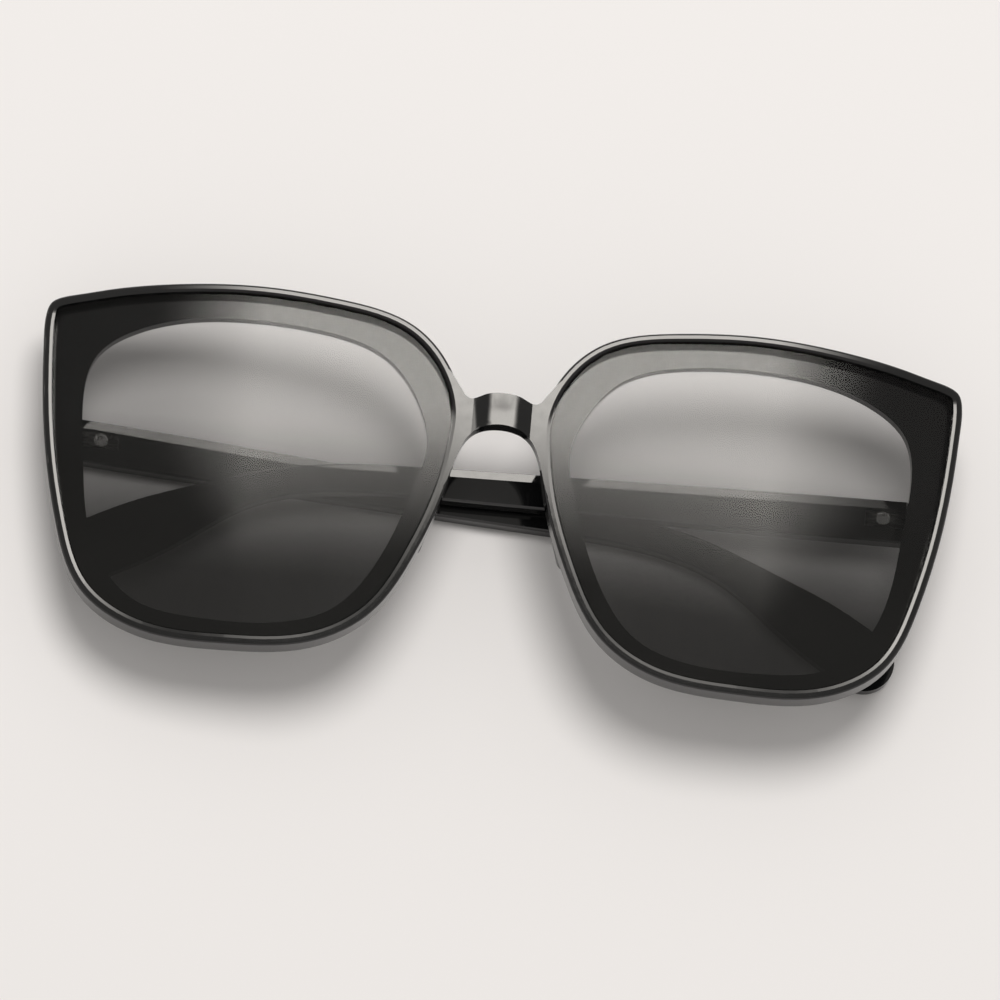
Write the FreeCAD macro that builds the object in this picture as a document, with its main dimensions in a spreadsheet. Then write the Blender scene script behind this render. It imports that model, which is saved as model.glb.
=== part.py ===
import FreeCAD, Part
import math
import os
import re

from FreeCAD import Placement, Rotation, Vector

# Oversized sunglasses, folded and lying on their temples with the lenses up.
# X runs to the viewer's right, Y to the top of the lenses and Z up from the table.

# Driving dimensions, in millimetres and degrees
SIZES = {
    # Lenses and the front that holds them
    "lens_width": 64.9,
    "lens_height": 58.0,
    "lens_thickness": 1.8,
    "lens_round": 0.2,
    "lens_set": 0.35,
    "lens_gap": 0.12,
    "lens_seat_gap": 0.02,
    "bridge_width": 16.0,
    "rim_wall": 1.45,
    "rim_round": 0.4,
    "rim_bevel_width": 0.5,
    "rim_bevel_depth": 0.055,
    "front_depth": 4.0,
    "wrap_radius": 500.0,
    "ledge_nose": 3.8,
    "ledge_outer": 5.8,
    "ledge_top": 3.6,
    "ledge_bottom": 2.9,
    # Bridge, measured from the centre line of the lenses
    "bridge_top": 15.5,
    "bridge_top_fall": 1.15,
    "bridge_arch": 10.1,
    "bridge_arch_fall": 6.6,
    "bridge_back": 2.2,
    "saddle_axis_depth": 15.25,
    "saddle_rise_top": 0.7,
    "saddle_rise_bottom": 0.69,
    # Nose pads
    "pad_length": 12.0,
    "pad_width": 3.4,
    "pad_depth": 3.2,
    "pad_round": 1.2,
    "pad_inset": 3.35,
    "pad_drop": 5.4,
    "pad_lean_angle": 16.5,
    # End blocks and hinges
    "end_block_length": 6.6,
    "end_inset": 2.2,
    "hinge_height": 6.4,
    "knuckle_radius": 1.25,
    "knuckle_relief": 0.2,
    "knuckle_middle": 1.0,
    "knuckle_gap": 0.1,
    "leaf_wall": 2.3,
    "leaf_thickness": 1.0,
    "leaf_gap": 0.05,
    "front_leaf_length": 5.2,
    "temple_leaf_length": 8.0,
    "screw_radius": 0.6,
    "screw_clearance": 0.03,
    "screw_head_radius": 1.05,
    "screw_head_height": 0.45,
    "screw_slot_width": 0.3,
    "screw_slot_depth": 0.25,
    "rivet_radius": 0.7,
    "rivet_head_radius": 1.15,
    "rivet_head_height": 0.3,
    "rivet_cup_radius": 0.6,
    "rivet_cup_depth": 0.2,
    "rivet_cover": 1.0,
    "front_rivet_offset": 3.4,
    "temple_rivet_offset": 5.15,
    # Temples, with the waist and the bend measured from the tip
    "temple_thickness": 3.4,
    "temple_length": 141.0,
    "temple_root_height": 7.2,
    "temple_waist_height": 5.0,
    "temple_waist_at": 36.0,
    "temple_paddle_height": 10.0,
    "temple_paddle_length": 10.0,
    "temple_bend_at": 52.0,
    "temple_bend_radius": 55.0,
    "temple_bend_angle": 27.5,
    "right_temple_droop_angle": 1.6,
    "left_temple_droop_angle": 3.2,
    "temple_band_width": 1.6,
    "temple_band_slope_angle": 12.0,
    "temple_face_slope_angle": 3.0,
    "temple_edge_round": 0.8,
    "temple_round": 0.6,
    "butt_gap": 0.15,
    "stack_gap": 0.3,
    # How far cutting shapes run past what they cut
    "overrun": 2.0,
}

# Lens edge, anticlockwise from the nose, as shares of half the lens width and height
LENS_EDGE_SHARES = [
    (-1.0, 0.324),
    (-0.949, -0.044),
    (-0.819, -0.454),
    (-0.653, -0.769),
    (-0.41, -0.944),
    (0.017, -1.0),
    (0.417, -0.958),
    (0.713, -0.75),
    (0.845, -0.418),
    (0.924, -0.058),
    (0.98, 0.371),
    (1.0, 0.668),
    (0.999, 0.817),
    (0.99, 0.849),
    (0.964, 0.865),
    (0.887, 0.887),
    (0.747, 0.923),
    (0.406, 0.981),
    (-0.013, 1.0),
    (-0.402, 0.959),
    (-0.754, 0.846),
    (-0.924, 0.648),
]

# Edge of the see-through window, as shares of half the window's width and height
WINDOW_EDGE_SHARES = [
    (-1.0, 0.16),
    (-0.89, -0.25),
    (-0.756, -0.588),
    (-0.54, -0.87),
    (-0.2, -0.99),
    (0.25, -0.99),
    (0.58, -0.91),
    (0.846, -0.588),
    (0.968, 0.013),
    (1.0, 0.35),
    (0.945, 0.7),
    (0.713, 0.888),
    (0.156, 1.0),
    (-0.346, 0.963),
    (-0.724, 0.827),
    (-0.935, 0.553),
]

# Top edge of the bridge from its middle, as shares of half its width and of its fall
BRIDGE_TOP_SHARES = [
    (0.0, 0.0),
    (0.35, 0.3),
    (0.54, 0.87),
    (0.65, 1.0),
    (0.735, 0.78),
    (0.815, 0.13),
    (0.954, -1.3),
]

# Lower edge of the bridge from its middle, as shares of half its width and of its fall
BRIDGE_ARCH_SHARES = [
    (0.0, 0.0),
    (0.232, 0.03),
    (0.464, 0.136),
    (0.655, 0.356),
    (0.784, 0.66),
    (0.872, 1.0),
]

# How far out across the rim's wall the bridge is rooted
BRIDGE_ROOT_SHARE = 0.62
# Where along each stretch of the temple its edges are drawn
TEMPLE_STATION_SHARES = [0.25, 0.5, 0.75, 1.0]
# The most of a wall that a rounded edge may take
ROUND_LIMIT_SHARE = 0.45
# How near, as a share of the wrap radius, an edge lies to a surface that it is on
NEAR_SHARE = 1e-6

# Sizes that several pieces take from the driving dimensions
LEAF_HEIGHT = "(temple_root_height - 2 * leaf_wall)"
KNUCKLE_SIDE = f"({LEAF_HEIGHT} / 2 - knuckle_middle / 2 - knuckle_gap)"
RIVET_SHANK = "(temple_thickness - rivet_cover)"
RECESS_DEPTH = "(lens_set + lens_thickness + lens_seat_gap)"
PRISM_DEPTH = "wrap_radius"

X_AXIS = Vector(1, 0, 0)
Y_AXIS = Vector(0, 1, 0)
Z_AXIS = Vector(0, 0, 1)
UPRIGHT = Rotation()
ALONG_Y = Rotation(X_AXIS, -90)
ALONG_X = Rotation(Y_AXIS, 90)

doc = FreeCAD.newDocument("sunglasses")
sheet = doc.addObject("Spreadsheet::Sheet", "Sizes")
for row, (alias, number) in enumerate(SIZES.items(), start=1):
    sheet.set(f"A{row}", alias)
    sheet.set(f"B{row}", str(number))
    sheet.setAlias(f"B{row}", alias)
doc.recompute()


def size(alias):
    """A driving dimension, read from the sheet."""
    return float(sheet.get(alias))


def sheet_name(word):
    """A word of a sum, with the sheet's name before it if it is a driving dimension."""
    return f"Sizes.{word.group(0)}" if word.group(0) in SIZES else word.group(0)


def bind(item, **sums):
    """Tie properties of an object to sums of driving dimensions."""
    for prop, text in sums.items():
        item.setExpression(prop.replace("__", "."), re.sub(r"[a-z]+(_[a-z]+)*", sheet_name, text))


def limited(rounding, wall):
    """A rounding, or as much of it as the wall that carries it has room for."""
    return min(size(rounding), ROUND_LIMIT_SHARE * size(wall))


def box(name, length, width, height, x="0", y="0", z="0"):
    """A block from its least corner, along X, Y and Z."""
    item = doc.addObject("Part::Box", name)
    bind(item, Length=length, Width=width, Height=height)
    bind(item, Placement__Base__x=x, Placement__Base__y=y, Placement__Base__z=z)
    return item


def rod(name, radius, height, turn=ALONG_Y, x="0", y="0", z="0"):
    """A cylinder whose axis is turned from Z and whose base centre is given."""
    item = doc.addObject("Part::Cylinder", name)
    item.Placement = Placement(Vector(), turn)
    bind(item, Radius=radius, Height=height)
    bind(item, Placement__Base__x=x, Placement__Base__y=y, Placement__Base__z=z)
    return item


def fuse(name, items):
    """Several objects joined in one solid."""
    item = doc.addObject("Part::MultiFuse", name)
    item.Shapes = items
    item.Refine = False
    return item


def common(name, items):
    """What several objects share."""
    item = doc.addObject("Part::MultiCommon", name)
    item.Shapes = items
    item.Refine = False
    return item


def cut(name, base, tools):
    """One object less others."""
    item = doc.addObject("Part::Cut", name)
    item.Base = base
    item.Tool = tools[0] if len(tools) == 1 else fuse(f"{name}_tools", tools)
    item.Refine = False
    return item


def mirror(name, source, base, normal):
    """The other hand of an object."""
    item = doc.addObject("Part::Mirroring", name)
    item.Source = source
    item.Base = base
    item.Normal = normal
    return item


def closed_curve(points):
    """A smooth closed curve through points."""
    curve = Part.BSplineCurve()
    curve.interpolate(Points=points, PeriodicFlag=True)
    return curve


def outline_curves(points):
    """A smooth closed outline through points, as one curve from each point to the next."""
    whole = closed_curve(points)
    stops = whole.getKnots()
    curves = []
    for start, end in zip(stops, stops[1:]):
        stretch = whole.copy()
        stretch.segment(start, end)
        curves.append(stretch)
    return curves


def offset_points(points, distance):
    """Points of an anticlockwise outline moved outward along its normals."""
    curve = closed_curve(points)
    moved = []
    for point in points:
        along = curve.tangent(curve.parameter(point))[0]
        moved.append(point + Vector(along.y, -along.x, 0) * distance)
    return moved


def prism(name, curves, forward, backward):
    """An outline in the XY plane drawn out along Z both ways."""
    sketch = doc.addObject("Sketcher::SketchObject", f"{name}_outline")
    for curve in curves:
        sketch.addGeometry(curve, False)
    item = doc.addObject("Part::Extrusion", name)
    item.Base = sketch
    item.DirMode = "Custom"
    item.Dir = Z_AXIS
    item.Solid = True
    bind(item, LengthFwd=forward, LengthRev=backward)
    return item


def wrap_drum(name, inset):
    """The cylinder that the front is bent round, less an inset from its face."""
    half = "(lens_height + rim_wall + overrun)"
    return rod(name, f"wrap_radius - ({inset})", f"2 * {half}", y=f"-{half}", z="-wrap_radius")


def wrap_shell(name, outer_inset, inner_inset):
    """The space between two insets from the face of the front."""
    outer = wrap_drum(f"{name}_outer", outer_inset)
    return cut(name, outer, [wrap_drum(f"{name}_inner", inner_inset)])


def wrap_fall(across):
    """How far the face of the front falls back at a distance from the middle."""
    radius = size("wrap_radius")
    return radius - math.sqrt(radius**2 - across**2)


def on_face(edge, inset):
    """Whether an edge's ends lie at an inset from the face of the front."""
    drum = size("wrap_radius")
    ends = [vertex.Point for vertex in edge.Vertexes]
    misses = [abs(drum - inset - math.hypot(end.x, end.z + drum)) for end in ends]
    return max(misses) < NEAR_SHARE * drum


def on_outline(edge, outline):
    """Whether an edge's ends lie over an outline in the XY plane."""
    misses = []
    for vertex in edge.Vertexes:
        end = Vector(vertex.X, vertex.Y, 0)
        misses.append(end.distanceToPoint(outline.value(outline.parameter(end))))
    return max(misses) < NEAR_SHARE * size("wrap_radius")


def wrap_rounding(name, base, inset, radius):
    """An object with its edges at one inset from the face of the front rounded."""
    doc.recompute()
    edges = []
    for number, edge in enumerate(base.Shape.Edges, start=1):
        if on_face(edge, inset):
            edges.append((number, radius, radius))
    item = doc.addObject("Part::Fillet", name)
    item.Base = base
    item.Edges = edges
    return item


def body_sketch(body, name, plane, curves):
    """A sketch on one of a body's own origin planes."""
    sketch = body.newObject("Sketcher::SketchObject", name)
    support = next(item for item in body.Origin.OriginFeatures if item.Role == plane)
    sketch.AttachmentSupport = [(support, "")]
    sketch.MapMode = "FlatFace"
    for curve in curves:
        sketch.addGeometry(curve, False)
    return sketch


def pocket(body, name, plane, curves, depth, sides="One side"):
    """A cut into a body, from an outline on one of its planes."""
    whole = body.Shape.Volume
    item = body.newObject("PartDesign::Pocket", name)
    item.Profile = body_sketch(body, f"{name}_outline", plane, curves)
    item.SideType = sides
    bind(item, Length=depth)
    doc.recompute()
    if body.Shape.Volume >= whole:
        raise RuntimeError(f"{name} cuts nothing")


def edges_at(shape, z):
    """The names of a shape's edges that lie in one plane across Z."""
    near = NEAR_SHARE * size("wrap_radius")
    spans = [(edge.BoundBox.ZMin - z, edge.BoundBox.ZMax - z) for edge in shape.Edges]
    return [
        f"Edge{number}"
        for number, span in enumerate(spans, start=1)
        if max(abs(span[0]), abs(span[1])) < near
    ]


# Places worked out from the driving dimensions, in the front's own frame
lens_middle = size("bridge_width") / 2 + size("lens_width") / 2
rim_edge = size("bridge_width") / 2 + size("lens_width") + size("lens_gap") + size("rim_wall")
hinge_x = rim_edge - size("end_inset") - size("temple_thickness")
hinge_y = size("hinge_height")
hinge_z = -wrap_fall(hinge_x) - size("front_depth") - size("end_block_length")
hinge_place = Placement(Vector(hinge_x, hinge_y, hinge_z), UPRIGHT)

# Folded, the right temple lies on the left one, so the front leans down to the left
stack_step = size("temple_thickness") + size("stack_gap")
lean = math.asin(stack_step / (2 * hinge_x))
left_axis_z = size("temple_thickness")
right_axis_z = left_axis_z + stack_step
front_place = Placement(
    Vector(
        -wrap_fall(rim_edge) * math.sin(lean),
        0,
        (left_axis_z + right_axis_z) / 2 - hinge_z * math.cos(lean),
    ),
    Rotation(Y_AXIS, -math.degrees(lean)),
)
right_axis = front_place.multVec(hinge_place.Base)
left_axis = front_place.multVec(Vector(-hinge_x, hinge_y, hinge_z))


def lens_points():
    """The edge of the right lens."""
    half_width = size("lens_width") / 2
    half_height = size("lens_height") / 2
    return [
        Vector(lens_middle + u * half_width, v * half_height, 0) for u, v in LENS_EDGE_SHARES
    ]


def window_points():
    """The edge of the opening behind the right lens."""
    nose = lens_middle - size("lens_width") / 2 + size("ledge_nose")
    outer = lens_middle + size("lens_width") / 2 - size("ledge_outer")
    top = size("lens_height") / 2 - size("ledge_top")
    bottom = size("ledge_bottom") - size("lens_height") / 2
    middle = Vector((nose + outer) / 2, (top + bottom) / 2, 0)
    return [
        middle + Vector(u * (outer - nose) / 2, v * (top - bottom) / 2, 0)
        for u, v in WINDOW_EDGE_SHARES
    ]


def bridge_edge(shares, height, fall):
    """Points of one edge of the bridge, from its middle to the right."""
    half = size("bridge_width") / 2
    return [Vector(u * half, size(height) - v * size(fall), 0) for u, v in shares]


def both_sides(points):
    """A smooth curve from the mirror images of points, through the middle, to the points."""
    left = [Vector(-point.x, point.y, 0) for point in reversed(points[1:])]
    curve = Part.BSplineCurve()
    curve.interpolate(Points=left + points)
    return curve


def bridge_curves():
    """The bridge: a top that dips and runs up to the rims, and an arch that runs down into them."""
    depth = size("lens_gap") + BRIDGE_ROOT_SHARE * size("rim_wall")
    root = offset_points(lens_points(), depth)
    stretches = outline_curves(root)
    top = bridge_edge(BRIDGE_TOP_SHARES, "bridge_top", "bridge_top_fall")
    arch = bridge_edge(BRIDGE_ARCH_SHARES, "bridge_arch", "bridge_arch_fall")
    curves = [both_sides(top + [root[-1]]), both_sides(arch + [root[1]])]
    for right_side in (stretches[-1], stretches[0]):
        left_side = right_side.copy()
        left_side.mirror(Vector(), Y_AXIS)
        curves += [right_side, left_side]
    return curves


def end_block():
    """The block behind the rim's outer end, with the seats of the hinge."""
    blank = box(
        "end_block_blank",
        "temple_thickness",
        "temple_root_height",
        "end_block_length + front_depth / 2",
        y="-temple_root_height / 2",
    )
    seats = [
        box(
            "front_leaf_seat",
            "leaf_thickness",
            f"{LEAF_HEIGHT} + 2 * leaf_gap",
            "front_leaf_length + leaf_gap",
            y=f"-{LEAF_HEIGHT} / 2 - leaf_gap",
        ),
        rod("front_rivet_seat", "rivet_radius", RIVET_SHANK, ALONG_X, z="front_rivet_offset"),
        rod(
            "front_knuckle_space",
            "knuckle_radius + knuckle_relief",
            "temple_root_height + 2 * overrun",
            y="-temple_root_height / 2 - overrun",
        ),
    ]
    item = cut("end_block", blank, seats)
    item.Placement = hinge_place
    return item


def front_half():
    """One rim with its lens recess, window and end block, in the front's frame."""
    recess_edge = offset_points(lens_points(), size("lens_gap"))
    outer_edge = offset_points(recess_edge, size("rim_wall"))
    rim = common(
        "rim_blank",
        [
            prism("rim_prism", outline_curves(outer_edge), "overrun", PRISM_DEPTH),
            wrap_shell("rim_shell", "0", "front_depth"),
        ],
    )
    rounding = limited("rim_round", "rim_wall")
    rim = wrap_rounding("rim_front_rounded", rim, 0, rounding)
    rim = wrap_rounding("rim_rounded", rim, size("front_depth"), rounding)
    recess = common(
        "recess",
        [
            prism("recess_prism", outline_curves(recess_edge), "overrun", PRISM_DEPTH),
            wrap_shell("recess_shell", "-overrun", RECESS_DEPTH),
        ],
    )
    window = prism("window", outline_curves(window_points()), "overrun", PRISM_DEPTH)
    rim = rim_bevel(cut("rim_recessed", rim, [recess]), closed_curve(recess_edge))
    block = cut("end_block_trimmed", end_block(), [recess])
    return cut("right_half", fuse("rim_and_block", [rim, block]), [window])


def rim_bevel(rim, recess_edge):
    """A rim with the front edge of its lens recess bevelled."""
    doc.recompute()
    edges = []
    for number, edge in enumerate(rim.Shape.Edges, start=1):
        if on_face(edge, 0) and on_outline(edge, recess_edge):
            edges.append((number, size("rim_bevel_width"), size("rim_bevel_depth")))
    item = doc.addObject("Part::Chamfer", "rim_bevelled")
    item.Base = rim
    item.Edges = edges
    return item


def saddle():
    """The cone, about an upright axis behind the bridge, that the bridge's middle follows."""
    tall = "(bridge_top - bridge_arch + bridge_arch_fall)"
    spread = f"((saddle_rise_top - saddle_rise_bottom) * overrun / {tall})"
    cone = doc.addObject("Part::Cone", "saddle_cone")
    cone.Placement = Placement(Vector(), ALONG_Y)
    bind(
        cone,
        Radius1=f"saddle_axis_depth + saddle_rise_bottom - {spread}",
        Radius2=f"saddle_axis_depth + saddle_rise_top + {spread}",
        Height=f"{tall} + 2 * overrun",
        Placement__Base__y="bridge_arch - bridge_arch_fall - overrun",
        Placement__Base__z="-saddle_axis_depth",
    )
    return cone


def front_frame():
    """The front: two rims and the bridge, in one piece."""
    right_half = front_half()
    left_half = mirror("left_half", right_half, Vector(), X_AXIS)
    forward = "saddle_rise_top + overrun"
    plate_blank = prism("bridge_plate_blank", bridge_curves(), forward, "bridge_back")
    plate = common("bridge_plate", [plate_blank, wrap_drum("bridge_face", "0")])
    bulge_blank = prism("bridge_bulge_blank", bridge_curves(), forward, "bridge_back")
    bulge = common("bridge_bulge", [bulge_blank, saddle()])
    item = fuse("front_frame", [right_half, left_half, plate, bulge])
    item.Placement = front_place
    return item


def right_lens():
    """The right lens, bent with the front and set a little below the rim's face."""
    blank = common(
        "lens_blank",
        [
            prism("lens_prism", outline_curves(lens_points()), "overrun", PRISM_DEPTH),
            wrap_shell("lens_shell", "lens_set", "lens_set + lens_thickness"),
        ],
    )
    rounding = limited("lens_round", "lens_thickness")
    item = wrap_rounding("right_lens", blank, size("lens_set"), rounding)
    item.Placement = front_place
    return item


def right_nose_pad():
    """A pad glued behind the nose side of the rim, rounded where it meets the nose."""
    end = size("pad_length") / 2
    side = size("pad_width") / 2
    straight = end - side
    body = doc.addObject("PartDesign::Body", "pad_body")
    pad = body.newObject("PartDesign::Pad", "pad_blank")
    pad.Profile = body_sketch(
        body,
        "pad_outline",
        "XY_Plane",
        [
            Part.LineSegment(Vector(side, -straight, 0), Vector(side, straight, 0)),
            Part.Arc(Vector(side, straight, 0), Vector(0, end, 0), Vector(-side, straight, 0)),
            Part.LineSegment(Vector(-side, straight, 0), Vector(-side, -straight, 0)),
            Part.Arc(Vector(-side, -straight, 0), Vector(0, -end, 0), Vector(side, -straight, 0)),
        ],
    )
    pad.Reversed = True
    bind(pad, Length="front_depth + pad_depth")
    doc.recompute()
    rounded = body.newObject("PartDesign::Fillet", "pad_rounding")
    rounded.Base = (pad, edges_at(pad.Shape, pad.Shape.BoundBox.ZMin))
    bind(rounded, Radius=f"min(pad_round; {ROUND_LIMIT_SHARE} * pad_width)")
    body.Placement = Placement(
        Vector(size("bridge_width") / 2 + size("pad_inset"), -size("pad_drop"), 0),
        Rotation(Z_AXIS, size("pad_lean_angle")),
    )
    item = common("right_nose_pad", [body, wrap_drum("pad_seat", "front_depth")])
    item.Placement = front_place
    return item


def screw_bore(name):
    """The hole through the knuckles for the hinge screw."""
    return rod(
        name,
        "screw_radius + screw_clearance",
        f"{LEAF_HEIGHT} + 2 * overrun",
        y=f"-{LEAF_HEIGHT} / 2 - overrun",
    )


def right_front_hinge_leaf():
    """A plate in the end block's inner face, with an upper and a lower knuckle."""
    plate = box(
        "front_leaf_plate",
        "leaf_thickness",
        LEAF_HEIGHT,
        "front_leaf_length",
        y=f"-{LEAF_HEIGHT} / 2",
    )
    notch = rod(
        "front_leaf_notch",
        "knuckle_radius + knuckle_relief",
        "knuckle_middle + 2 * knuckle_gap",
        y="-knuckle_middle / 2 - knuckle_gap",
    )
    top = rod(
        "front_knuckle_top", "knuckle_radius", KNUCKLE_SIDE, y="knuckle_middle / 2 + knuckle_gap"
    )
    bottom = rod("front_knuckle_bottom", "knuckle_radius", KNUCKLE_SIDE, y=f"-{LEAF_HEIGHT} / 2")
    hole = rod("front_leaf_hole", "rivet_radius", "leaf_thickness", ALONG_X, z="front_rivet_offset")
    solid = fuse("front_leaf_solid", [cut("front_leaf_notched", plate, [notch]), top, bottom])
    item = cut("right_front_hinge_leaf", solid, [hole, screw_bore("front_leaf_bore")])
    item.Placement = front_place.multiply(hinge_place)
    return item


def right_temple_hinge_leaf():
    """A plate in the temple's inner face, with the middle knuckle."""
    plate = box(
        "temple_leaf_plate",
        "temple_leaf_length",
        LEAF_HEIGHT,
        "leaf_thickness",
        x="-temple_leaf_length",
        y=f"-{LEAF_HEIGHT} / 2",
        z="-leaf_thickness",
    )
    starts = {"top": "knuckle_middle / 2", "bottom": f"-{LEAF_HEIGHT} / 2 - overrun"}
    notches = [
        rod(
            f"temple_leaf_notch_{place}",
            "knuckle_radius + knuckle_relief",
            f"{KNUCKLE_SIDE} + knuckle_gap + overrun",
            y=start,
        )
        for place, start in starts.items()
    ]
    barrel = rod("temple_knuckle", "knuckle_radius", "knuckle_middle", y="-knuckle_middle / 2")
    hole = rod(
        "temple_leaf_hole",
        "rivet_radius",
        "leaf_thickness",
        UPRIGHT,
        x="-temple_rivet_offset",
        z="-leaf_thickness",
    )
    solid = fuse("temple_leaf_solid", [cut("temple_leaf_notched", plate, notches), barrel])
    item = cut("right_temple_hinge_leaf", solid, [hole, screw_bore("temple_leaf_bore")])
    item.Placement = Placement(right_axis, UPRIGHT)
    return item


def right_hinge_screw():
    """The slotted screw on the hinge axis."""
    shank = rod("screw_shank", "screw_radius", LEAF_HEIGHT, y=f"-{LEAF_HEIGHT} / 2")
    head = rod("screw_head", "screw_head_radius", "screw_head_height", y=f"{LEAF_HEIGHT} / 2")
    slot = box(
        "screw_slot",
        "2 * screw_head_radius",
        "screw_slot_depth + overrun",
        "screw_slot_width",
        x="-screw_head_radius",
        y=f"{LEAF_HEIGHT} / 2 + screw_head_height - screw_slot_depth",
        z="-screw_slot_width / 2",
    )
    item = cut("right_hinge_screw", fuse("screw_solid", [shank, head]), [slot])
    item.Placement = front_place.multiply(hinge_place)
    return item


def rivet(name, place):
    """A rivet whose cupped head lies on the XY plane of a place, with its shank behind."""
    shank = rod(f"{name}_shank", "rivet_radius", RIVET_SHANK, UPRIGHT, z=f"-{RIVET_SHANK}")
    head = rod(f"{name}_head", "rivet_head_radius", "rivet_head_height", UPRIGHT)
    cup = rod(
        f"{name}_cup",
        "rivet_cup_radius",
        "rivet_cup_depth + overrun",
        UPRIGHT,
        z="rivet_head_height - rivet_cup_depth",
    )
    item = cut(name, fuse(f"{name}_solid", [shank, head]), [cup])
    item.Placement = place
    return item


def right_front_rivet():
    """The rivet that holds the front leaf to the end block."""
    seat = Placement(Vector(0, 0, size("front_rivet_offset")), Rotation(Y_AXIS, -90))
    return rivet("right_front_rivet", front_place.multiply(hinge_place).multiply(seat))


def right_temple_rivet():
    """The rivet that holds the temple leaf to the temple."""
    seat = right_axis - X_AXIS * size("temple_rivet_offset")
    return rivet("right_temple_rivet", Placement(seat, UPRIGHT))


def temple_spine(droop, along):
    """A point of a temple's centre line and its direction, at a length from the hinge."""
    droop = math.radians(size(droop))
    radius = size("temple_bend_radius")
    start = size("temple_length") - size("temple_bend_at")
    bend = math.radians(size("temple_bend_angle"))
    angle = droop + min(max((along - start) / radius, 0), bend)
    straight = min(along, start)
    tail = max(along - start - bend * radius, 0)
    x = straight * math.cos(droop) + tail * math.cos(angle)
    y = straight * math.sin(droop) + tail * math.sin(angle)
    x += radius * (math.sin(angle) - math.sin(droop))
    y += radius * (math.cos(droop) - math.cos(angle))
    return Vector(-x, -y, 0), Vector(-math.cos(angle), -math.sin(angle), 0)


def temple_waist_along():
    """The length from the hinge to the temple's waist."""
    return size("temple_length") - size("temple_waist_at")


def temple_stations():
    """Lengths along the temple with its half height there."""
    tip_half = size("temple_paddle_height") / 2
    marks = [
        (size("butt_gap"), size("temple_root_height") / 2),
        (temple_waist_along(), size("temple_waist_height") / 2),
        (size("temple_length") - size("temple_paddle_length"), tip_half),
        (size("temple_length") - tip_half, tip_half),
    ]
    stations = marks[:1]
    for (start, half), (end, next_half) in zip(marks, marks[1:]):
        for share in TEMPLE_STATION_SHARES:
            eased = (1 - math.cos(math.pi * share)) / 2
            stations.append((start + share * (end - start), half + eased * (next_half - half)))
    return stations


def temple_root_corner(side):
    """A corner of the temple's butt end, above (1) or below (-1) the hinge."""
    return Vector(-size("butt_gap"), side * size("temple_root_height") / 2, 0)


def temple_curves(droop):
    """The side outline of a temple: upper edge, tip, lower edge and butt end."""
    upper = [temple_root_corner(1)]
    lower = [temple_root_corner(-1)]
    for along, half in temple_stations()[1:]:
        point, ahead = temple_spine(droop, along)
        side = Vector(ahead.y, -ahead.x, 0) * half
        upper.append(point + side)
        lower.append(point - side)
    root_ahead = temple_spine(droop, 0)[1]
    tip_along, tip_half = temple_stations()[-1]
    tip_centre, tip_ahead = temple_spine(droop, tip_along)
    upper_edge = Part.BSplineCurve()
    upper_edge.interpolate(Points=upper, InitialTangent=root_ahead, FinalTangent=tip_ahead)
    lower.reverse()
    lower_edge = Part.BSplineCurve()
    lower_edge.interpolate(Points=lower, InitialTangent=-tip_ahead, FinalTangent=-root_ahead)
    return [
        upper_edge,
        Part.Arc(upper[-1], tip_centre + tip_ahead * tip_half, lower[0]),
        lower_edge,
        Part.LineSegment(lower[-1], upper[0]),
    ]


def temple_crease(droop):
    """The crease along a temple's inner face, a band's width below its upper edge."""
    taper = (size("temple_root_height") - size("temple_waist_height")) / 2
    angle = size(droop) + math.degrees(math.atan(taper / temple_waist_along()))
    turn = Rotation(Z_AXIS, 180 + angle)
    down = turn.multVec(Vector(-size("overrun"), size("temple_band_width"), 0))
    return Placement(temple_root_corner(1) + down, turn)


def temple_slope(body, name, droop, angle, shift):
    """Slopes a temple's inner face away from the crease, on one side of it."""
    slope = body.newObject("PartDesign::SubtractiveBox", name)
    tilt = Placement(Vector(), Rotation(X_AXIS, angle))
    slope.Placement = temple_crease(droop) * tilt * Placement(Vector(0, shift, 0), UPRIGHT)
    bind(slope, Length="temple_length + overrun", Width="temple_length", Height="temple_thickness")
    doc.recompute()


def temple_leaf_seat_curves():
    """The outline of the seat for the hinge leaf, open at the butt end."""
    reach = size("temple_leaf_length") + size("leaf_gap")
    half = size("temple_root_height") / 2 - size("leaf_wall") + size("leaf_gap")
    corners = [
        Vector(-reach, -half, 0),
        Vector(size("overrun"), -half, 0),
        Vector(size("overrun"), half, 0),
        Vector(-reach, half, 0),
    ]
    return [Part.LineSegment(a, b) for a, b in zip(corners, corners[1:] + corners[:1])]


def temple_rounding(body, name, base, edges, radius):
    """A temple with some of its edges rounded."""
    item = body.newObject("PartDesign::Fillet", name)
    item.Base = (base, edges)
    bind(item, Radius=f"min({radius}; {ROUND_LIMIT_SHARE} * temple_thickness)")
    doc.recompute()
    return item


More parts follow.
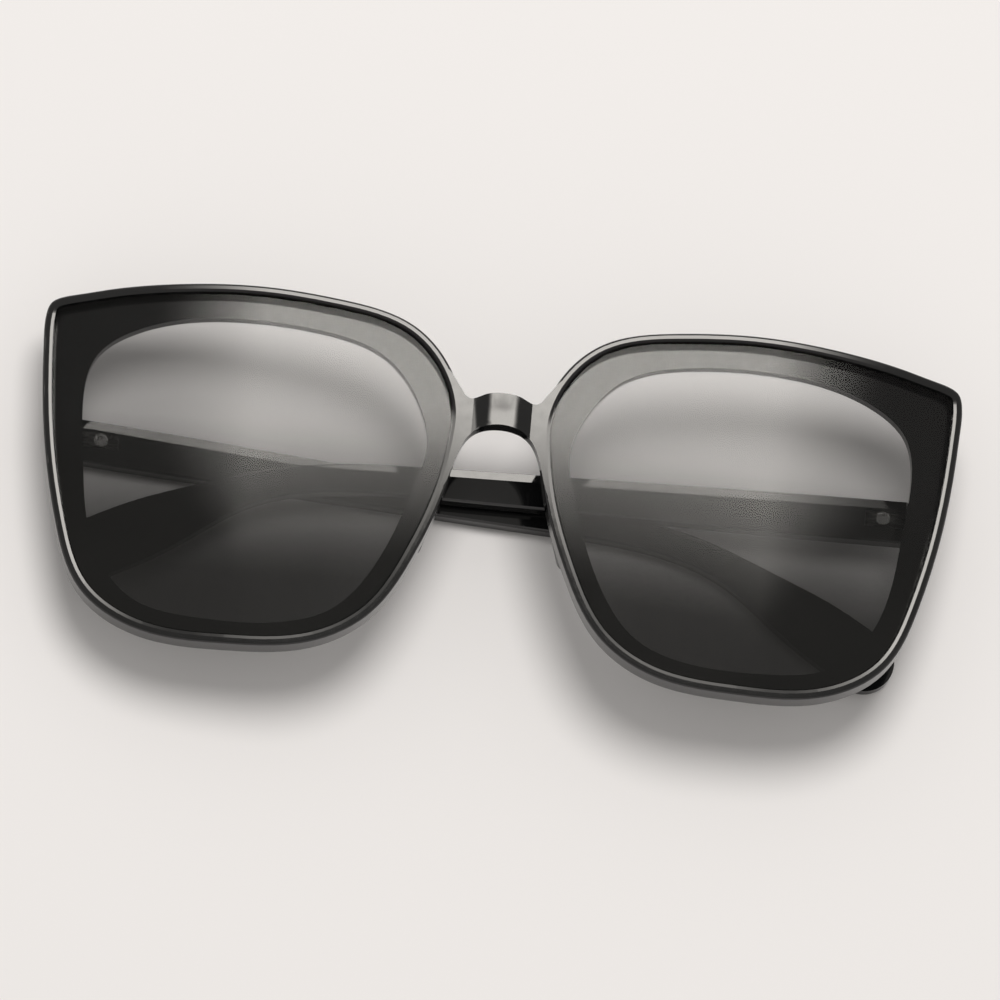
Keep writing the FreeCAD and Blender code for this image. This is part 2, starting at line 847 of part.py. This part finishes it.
def temple(name, droop):
    """A right-hand temple: a drooping plate, its inner face sloped both ways from a crease."""
    body = doc.addObject("PartDesign::Body", name)
    plate = body.newObject("PartDesign::Pad", f"{name}_plate")
    plate.Profile = body_sketch(body, f"{name}_outline", "XY_Plane", temple_curves(droop))
    plate.Reversed = True
    bind(plate, Length="temple_thickness")
    doc.recompute()
    upper = max(edges_at(plate.Shape, 0), key=lambda edge: plate.Shape.getElement(edge).Length)
    edged = temple_rounding(body, f"{name}_upper_edge", plate, [upper], "temple_edge_round")
    outer = edges_at(edged.Shape, -size("temple_thickness"))
    butt = min(outer, key=lambda edge: edged.Shape.getElement(edge).Length)
    outer.remove(butt)
    temple_rounding(body, f"{name}_outer_edge", edged, outer, "temple_round")
    temple_slope(body, f"{name}_slope", droop, -size("temple_face_slope_angle"), 0)
    band_slope = size("temple_band_slope_angle")
    temple_slope(body, f"{name}_band", droop, band_slope, -size("temple_length"))
    pocket(body, f"{name}_leaf_seat", "XY_Plane", temple_leaf_seat_curves(), "leaf_thickness")
    rivet_seat = Part.Circle(
        Vector(-size("temple_rivet_offset"), 0, 0), Z_AXIS, size("rivet_radius")
    )
    pocket(body, f"{name}_rivet_seat", "XY_Plane", [rivet_seat], RIVET_SHANK)
    knuckles = Part.Circle(Vector(), Z_AXIS, size("knuckle_radius") + size("knuckle_relief"))
    height = "temple_root_height + 2 * overrun"
    pocket(body, f"{name}_knuckle_space", "XZ_Plane", [knuckles], height, "Symmetric")
    body.Placement = Placement(right_axis, UPRIGHT)
    return body


# The right-hand pieces, with those that stay with the front first
fixed = [
    right_lens(),
    right_nose_pad(),
    right_front_hinge_leaf(),
    right_front_rivet(),
    right_hinge_screw(),
]
leaf = right_temple_hinge_leaf()
head = right_temple_rivet()
nodes = [front_frame()] + fixed + [temple("right_temple", "right_temple_droop_angle"), leaf, head]

# The left-hand pieces, mirrored across the middle of the front; its temple lies lower
for item in fixed:
    left_name = item.Name.replace("right", "left")
    nodes.append(mirror(left_name, item, front_place.Base, front_place.Rotation.multVec(X_AXIS)))
swinging = {
    "left_temple": temple("left_temple_unmirrored", "left_temple_droop_angle"),
    "left_temple_hinge_leaf": leaf,
    "left_temple_rivet": head,
}
for left_name, item in swinging.items():
    left_item = mirror(left_name, item, (left_axis + right_axis) / 2, X_AXIS)
    left_item.Placement = Placement(Vector(0, 0, left_axis.z - right_axis.z), UPRIGHT)
    nodes.append(left_item)
doc.recompute()

faults = [item.Name for item in doc.Objects if "Invalid" in item.State or "Error" in item.State]
faults += [item.Name for item in nodes if item.Shape.isNull() or not item.Shape.isValid()]
faults += [item.Name for item in nodes if len(item.Shape.Solids) != 1]
if faults:
    raise RuntimeError(f"not built: {faults}")
os.makedirs("parts", exist_ok=True)
for item in nodes:
    item.Label = item.Name
    item.Shape.exportStep(f"parts/{item.Label}.step")
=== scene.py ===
import math

import bpy
from mathutils import Matrix, Vector

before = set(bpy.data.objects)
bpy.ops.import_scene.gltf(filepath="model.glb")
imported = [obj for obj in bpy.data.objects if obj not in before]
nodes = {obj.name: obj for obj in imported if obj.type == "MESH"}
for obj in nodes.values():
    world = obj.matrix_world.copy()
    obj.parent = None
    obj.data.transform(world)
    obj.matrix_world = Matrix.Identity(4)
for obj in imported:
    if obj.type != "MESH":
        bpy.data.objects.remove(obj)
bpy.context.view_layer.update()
scene = bpy.context.scene
scene.view_settings.view_transform = "Standard"

# The photograph's view, 20 degrees off straight down and turned a little about its own line
VIEW_BACK = Vector((-0.0706, -0.362, 1.0)).normalized()
VIEW_TURN = math.radians(6.65)
VIEW_TARGET = Vector((0.00071, -0.00229, 0.0201))
VIEW_WIDTH = 0.16003
VIEW_REACH = 20.0
FOCAL_LENGTH = 300.0
SENSOR_WIDTH = 36.0

# Studio: a pale room and table, with a soft lamp overhead, a little behind the sunglasses
PALE = (0.855, 0.820, 0.792)
ROOM_LEVEL = 0.62
FLOOR_SIDE = 12.0
FLOOR_ROUGHNESS = 0.9
LAMP_PLACE = (0.03, 0.34, 1.2)
LAMP_SIZE = 0.62
LAMP_POWER = 8.9

# A dim ceiling that only gloss shows, with a bright key panel, a fill panel at the left and
# a small back panel. A pair of places says where a panel starts to fade and where it is gone
CEILING_SIDE = 3.2
CEILING_HEIGHT = 1.4
CEILING_LEVEL = 0.40
LIGHT_COLOUR = (1.04, 1.0, 0.94)
KEY_LEVEL = 11.2
KEY_MIDDLE_X = 0.0395
KEY_SIDES = (0.3235, 0.4665)
KEY_NEAR = (0.527, 0.469)
KEY_FAR = (0.62, 1.02)
FILL_LEVEL = 4.5
FILL_MIDDLE_X = -0.86
FILL_SIDES = (0.09, 0.17)
BACK_LEVEL = 10.0
BACK_MIDDLE_X = 0.10
BACK_MIDDLE_Y = 1.345
BACK_SIDES = (0.10, 0.20)
BACK_ENDS = (0.05, 0.10)

# Polished plastic: grains to the metre and the height of the swirl
PLASTIC_IOR = 1.5
PLASTIC_SWIRLS = 60.0
PLASTIC_GRAINS = 700.0
PLASTIC_SWIRL_HEIGHT = 0.0000006

# Lens: its smears to the metre, and a height on it with how much light passes there
LENS_IOR = 1.46
LENS_SMEARS = 45.0
LENS_LOW = (-0.018, 0.06)
LENS_HIGH = (0.008, 0.60)

# Nose pads: grains to the metre and their height
PAD_GRAINS = 2500.0
PAD_GRAIN_HEIGHT = 0.000008

# Metals by the end of a node's name: material, dark and light colour, lines to the metre each way
METALS = {
    "leaf": ("blackened_steel", (0.006, 0.006, 0.006), (0.012, 0.012, 0.012), (300, 3000, 300)),
    "rivet": ("turned_black_steel", (0.03, 0.03, 0.03), (0.07, 0.07, 0.07), (900, 900, 900)),
    "screw": ("turned_steel", (0.45, 0.44, 0.42), (0.66, 0.65, 0.63), (900, 9000, 900)),
}
METAL_LINE_HEIGHT = 0.000005

# The stretch of a noise pattern's values that is used
PATTERN_LOW = 0.3
PATTERN_HIGH = 0.7

PLASTIC_NODES = ("front_frame", "left_temple", "right_temple")
LENS_NODES = ("left_lens", "right_lens")
PAD_NODES = ("left_nose_pad", "right_nose_pad")


def blank_material(name):
    """A material with an empty node tree."""
    material = bpy.data.materials.new(name)
    material.use_nodes = True
    material.node_tree.nodes.clear()
    return material, material.node_tree


def show(tree, surface, kind="ShaderNodeOutputMaterial"):
    """Ends a node tree with what its surface shows."""
    output = tree.nodes.new(kind)
    tree.links.new(surface, output.inputs["Surface"])


def principled_material(name):
    """A material with a Principled shader."""
    material, tree = blank_material(name)
    shader = tree.nodes.new("ShaderNodeBsdfPrincipled")
    show(tree, shader.outputs["BSDF"])
    return material, tree, shader


def place_coordinates(tree, scale=(1.0, 1.0, 1.0)):
    """The place on the piece, in metres, stretched by a scale."""
    coordinates = tree.nodes.new("ShaderNodeTexCoord")
    mapping = tree.nodes.new("ShaderNodeMapping")
    mapping.inputs["Scale"].default_value = scale
    tree.links.new(coordinates.outputs["Object"], mapping.inputs["Vector"])
    return mapping.outputs["Vector"]


def split_place(tree, place):
    """A place as its X and its Y."""
    split = tree.nodes.new("ShaderNodeSeparateXYZ")
    tree.links.new(place, split.inputs["Vector"])
    return split.outputs["X"], split.outputs["Y"]


def noise(tree, vector, scale, detail=4.0):
    """A noise pattern with so many grains to the metre."""
    texture = tree.nodes.new("ShaderNodeTexNoise")
    texture.inputs["Scale"].default_value = scale
    texture.inputs["Detail"].default_value = detail
    tree.links.new(vector, texture.inputs["Vector"])
    return texture.outputs["Fac"]


def remap(tree, value, low, high, start=PATTERN_LOW, end=PATTERN_HIGH):
    """A value carried from start and end to low and high, and held there beyond them."""
    item = tree.nodes.new("ShaderNodeMapRange")
    item.inputs["From Min"].default_value = start
    item.inputs["From Max"].default_value = end
    item.inputs["To Min"].default_value = low
    item.inputs["To Max"].default_value = high
    tree.links.new(value, item.inputs["Value"])
    return item.outputs["Result"]


def math_node(tree, operation, *values):
    """Arithmetic on values and plain numbers."""
    item = tree.nodes.new("ShaderNodeMath")
    item.operation = operation
    for socket, value in zip(item.inputs, values):
        if isinstance(value, float):
            socket.default_value = value
        else:
            tree.links.new(value, socket)
    return item.outputs["Value"]


def colours(tree, value, dark, light):
    """A pattern's value turned into colours."""
    ramp = tree.nodes.new("ShaderNodeValToRGB")
    ends = zip((PATTERN_LOW, PATTERN_HIGH), (dark, light))
    for element, (position, colour) in zip(ramp.color_ramp.elements, ends):
        element.position = position
        element.color = (*colour, 1.0)
    tree.links.new(value, ramp.inputs["Fac"])
    return ramp.outputs["Color"]


def bump(tree, shader, value, height):
    """Relief from a pattern."""
    item = tree.nodes.new("ShaderNodeBump")
    item.inputs["Distance"].default_value = height
    tree.links.new(value, item.inputs["Height"])
    tree.links.new(item.outputs["Normal"], shader.inputs["Normal"])


def gloss_plastic():
    """Polished black plastic with the faint swirl that polishing leaves."""
    material, tree, shader = principled_material("polished_black_plastic")
    place = place_coordinates(tree)
    swirl = noise(tree, place, PLASTIC_SWIRLS)
    grain = noise(tree, place, PLASTIC_GRAINS, detail=6.0)
    shader.inputs["IOR"].default_value = PLASTIC_IOR
    shade = colours(tree, swirl, dark=(0.004, 0.004, 0.0042), light=(0.010, 0.010, 0.0102))
    tree.links.new(shade, shader.inputs["Base Color"])
    tree.links.new(remap(tree, grain, low=0.035, high=0.075), shader.inputs["Roughness"])
    bump(tree, shader, swirl, PLASTIC_SWIRL_HEIGHT)
    return material


def lens_tint():
    """Grey sun lens, darker towards its lower edge."""
    material, tree, shader = principled_material("tinted_lens")
    place = place_coordinates(tree)
    smear = noise(tree, place, LENS_SMEARS)
    shader.inputs["IOR"].default_value = LENS_IOR
    shade = colours(tree, smear, dark=(0.003, 0.003, 0.0027), light=(0.006, 0.006, 0.0054))
    tree.links.new(shade, shader.inputs["Base Color"])
    tree.links.new(remap(tree, smear, low=0.02, high=0.045), shader.inputs["Roughness"])
    # Light passes two surfaces, so each lets the square root of the whole through
    low, high = (1 - math.sqrt(through) for _, through in (LENS_LOW, LENS_HIGH))
    _, y = split_place(tree, place)
    tint = remap(tree, y, low, high, LENS_LOW[0], LENS_HIGH[0])
    tree.links.new(tint, shader.inputs["Alpha"])
    return material


def satin_plastic():
    """Matt black plastic of the nose pads."""
    material, tree, shader = principled_material("satin_black_plastic")
    grain = noise(tree, place_coordinates(tree), PAD_GRAINS, detail=3.0)
    shade = colours(tree, grain, dark=(0.012, 0.012, 0.012), light=(0.028, 0.028, 0.028))
    tree.links.new(shade, shader.inputs["Base Color"])
    tree.links.new(remap(tree, grain, low=0.34, high=0.48), shader.inputs["Roughness"])
    bump(tree, shader, grain, PAD_GRAIN_HEIGHT)
    return material


def brushed_metal(name, dark, light, lines):
    """Steel with the fine lines left by its making, so many to the metre each way."""
    material, tree, shader = principled_material(name)
    pattern = noise(tree, place_coordinates(tree, lines), scale=1.0, detail=5.0)
    shader.inputs["Metallic"].default_value = 1.0
    tree.links.new(colours(tree, pattern, dark, light), shader.inputs["Base Color"])
    tree.links.new(remap(tree, pattern, low=0.2, high=0.36), shader.inputs["Roughness"])
    bump(tree, shader, pattern, METAL_LINE_HEIGHT)
    return material


def dress(names, material):
    """Gives a material to CAD nodes."""
    for name in names:
        mesh = nodes[name].data
        mesh.materials.clear()
        mesh.materials.append(material)


def make_camera():
    """A long lens at the photograph's angle."""
    camera = bpy.data.cameras.new("photo_camera")
    camera.lens = FOCAL_LENGTH
    camera.sensor_width = SENSOR_WIDTH
    camera.clip_end = VIEW_REACH
    item = bpy.data.objects.new("photo_camera", camera)
    across = Vector((math.cos(VIEW_TURN), math.sin(VIEW_TURN), 0))
    right = (across - VIEW_BACK * across.dot(VIEW_BACK)).normalized()
    turned = Matrix((right, VIEW_BACK.cross(right), VIEW_BACK)).transposed()
    item.rotation_mode = "QUATERNION"
    item.rotation_quaternion = turned.to_quaternion()
    item.location = VIEW_TARGET + VIEW_BACK * (VIEW_WIDTH * FOCAL_LENGTH / SENSOR_WIDTH)
    scene.collection.objects.link(item)
    scene.camera = item


def make_room():
    """Even light from all round, with a pale background that gloss and glass show too."""
    world = bpy.data.worlds.new("room")
    world.use_nodes = True
    tree = world.node_tree
    tree.nodes.clear()
    room = tree.nodes.new("ShaderNodeBackground")
    room.inputs["Strength"].default_value = ROOM_LEVEL
    backdrop = tree.nodes.new("ShaderNodeBackground")
    backdrop.inputs["Color"].default_value = (*PALE, 1.0)
    rays = tree.nodes.new("ShaderNodeLightPath").outputs
    seen = math_node(tree, "MAXIMUM", rays["Is Camera Ray"], rays["Is Glossy Ray"])
    seen = math_node(tree, "MAXIMUM", seen, rays["Is Transmission Ray"])
    mix = tree.nodes.new("ShaderNodeMixShader")
    tree.links.new(seen, mix.inputs["Fac"])
    tree.links.new(room.outputs["Background"], mix.inputs[1])
    tree.links.new(backdrop.outputs["Background"], mix.inputs[2])
    show(tree, mix.outputs["Shader"], "ShaderNodeOutputWorld")
    scene.world = world


def make_lamp():
    """The soft lamp that casts the shadow."""
    light = bpy.data.lights.new("overhead_lamp", "AREA")
    light.shape = "DISK"
    light.size = LAMP_SIZE
    light.energy = LAMP_POWER
    lamp = bpy.data.objects.new("overhead_lamp", light)
    lamp.location = LAMP_PLACE
    lamp.rotation_mode = "QUATERNION"
    lamp.rotation_quaternion = (-Vector(LAMP_PLACE)).to_track_quat("-Z", "Y")
    lamp.visible_glossy = False
    scene.collection.objects.link(lamp)


def sheet(name, side, height, material):
    """A level square that isn't part of the object."""
    mesh = bpy.data.meshes.new(name)
    half = side / 2
    corners = [(-half, -half, 0), (half, -half, 0), (half, half, 0), (-half, half, 0)]
    mesh.from_pydata(corners, [], [(0, 1, 2, 3)])
    mesh.materials.append(material)
    item = bpy.data.objects.new(name, mesh)
    item.location.z = height
    scene.collection.objects.link(item)
    return item


def make_floor():
    """The pale table."""
    material, _, shader = principled_material("pale_floor")
    shader.inputs["Base Color"].default_value = (*PALE, 1.0)
    shader.inputs["Roughness"].default_value = FLOOR_ROUGHNESS
    shader.inputs["Specular IOR Level"].default_value = 0.0
    sheet("floor", FLOOR_SIDE, 0.0, material)


def distance(tree, value, middle):
    """How far a value is from a middle one."""
    return math_node(tree, "ABSOLUTE", math_node(tree, "SUBTRACT", value, middle))


def fade(tree, value, full, gone):
    """One up to a place, and from there down to nothing at another."""
    return remap(tree, value, 1.0, 0.0, full, gone)


def panel(tree, level, sides, ends):
    """A bright panel on the ceiling, round at the corners where its sides and ends fade."""
    both = math_node(tree, "ADD", sides, ends)
    inside = math_node(tree, "MAXIMUM", math_node(tree, "SUBTRACT", both, 1.0), 0.0)
    return math_node(tree, "MULTIPLY", math_node(tree, "POWER", inside, 2.0), level)


def make_ceiling():
    """The dim ceiling with its panels: the key's near edge shows half way down the lenses."""
    material, tree = blank_material("ceiling")
    x, y = split_place(tree, place_coordinates(tree))
    key_sides = fade(tree, distance(tree, x, KEY_MIDDLE_X), *KEY_SIDES)
    key_ends = math_node(tree, "MINIMUM", fade(tree, y, *KEY_NEAR), fade(tree, y, *KEY_FAR))
    fill_sides = fade(tree, distance(tree, x, FILL_MIDDLE_X), *FILL_SIDES)
    back_sides = fade(tree, distance(tree, x, BACK_MIDDLE_X), *BACK_SIDES)
    back_ends = fade(tree, distance(tree, y, BACK_MIDDLE_Y), *BACK_ENDS)
    level = math_node(tree, "ADD", panel(tree, KEY_LEVEL, key_sides, key_ends), CEILING_LEVEL)
    level = math_node(tree, "ADD", panel(tree, FILL_LEVEL, fill_sides, key_ends), level)
    level = math_node(tree, "ADD", panel(tree, BACK_LEVEL, back_sides, back_ends), level)
    emission = tree.nodes.new("ShaderNodeEmission")
    emission.inputs["Color"].default_value = (*LIGHT_COLOUR, 1.0)
    tree.links.new(level, emission.inputs["Strength"])
    show(tree, emission.outputs["Emission"])
    ceiling = sheet("ceiling", CEILING_SIDE, CEILING_HEIGHT, material)
    ceiling.visible_camera = False
    ceiling.visible_diffuse = False
    ceiling.visible_transmission = False
    ceiling.visible_shadow = False


dress(PLASTIC_NODES, gloss_plastic())
dress(LENS_NODES, lens_tint())
dress(PAD_NODES, satin_plastic())
for ending, metal in METALS.items():
    dress([name for name in nodes if name.endswith(ending)], brushed_metal(*metal))
make_camera()
make_room()
make_lamp()
make_floor()
make_ceiling()
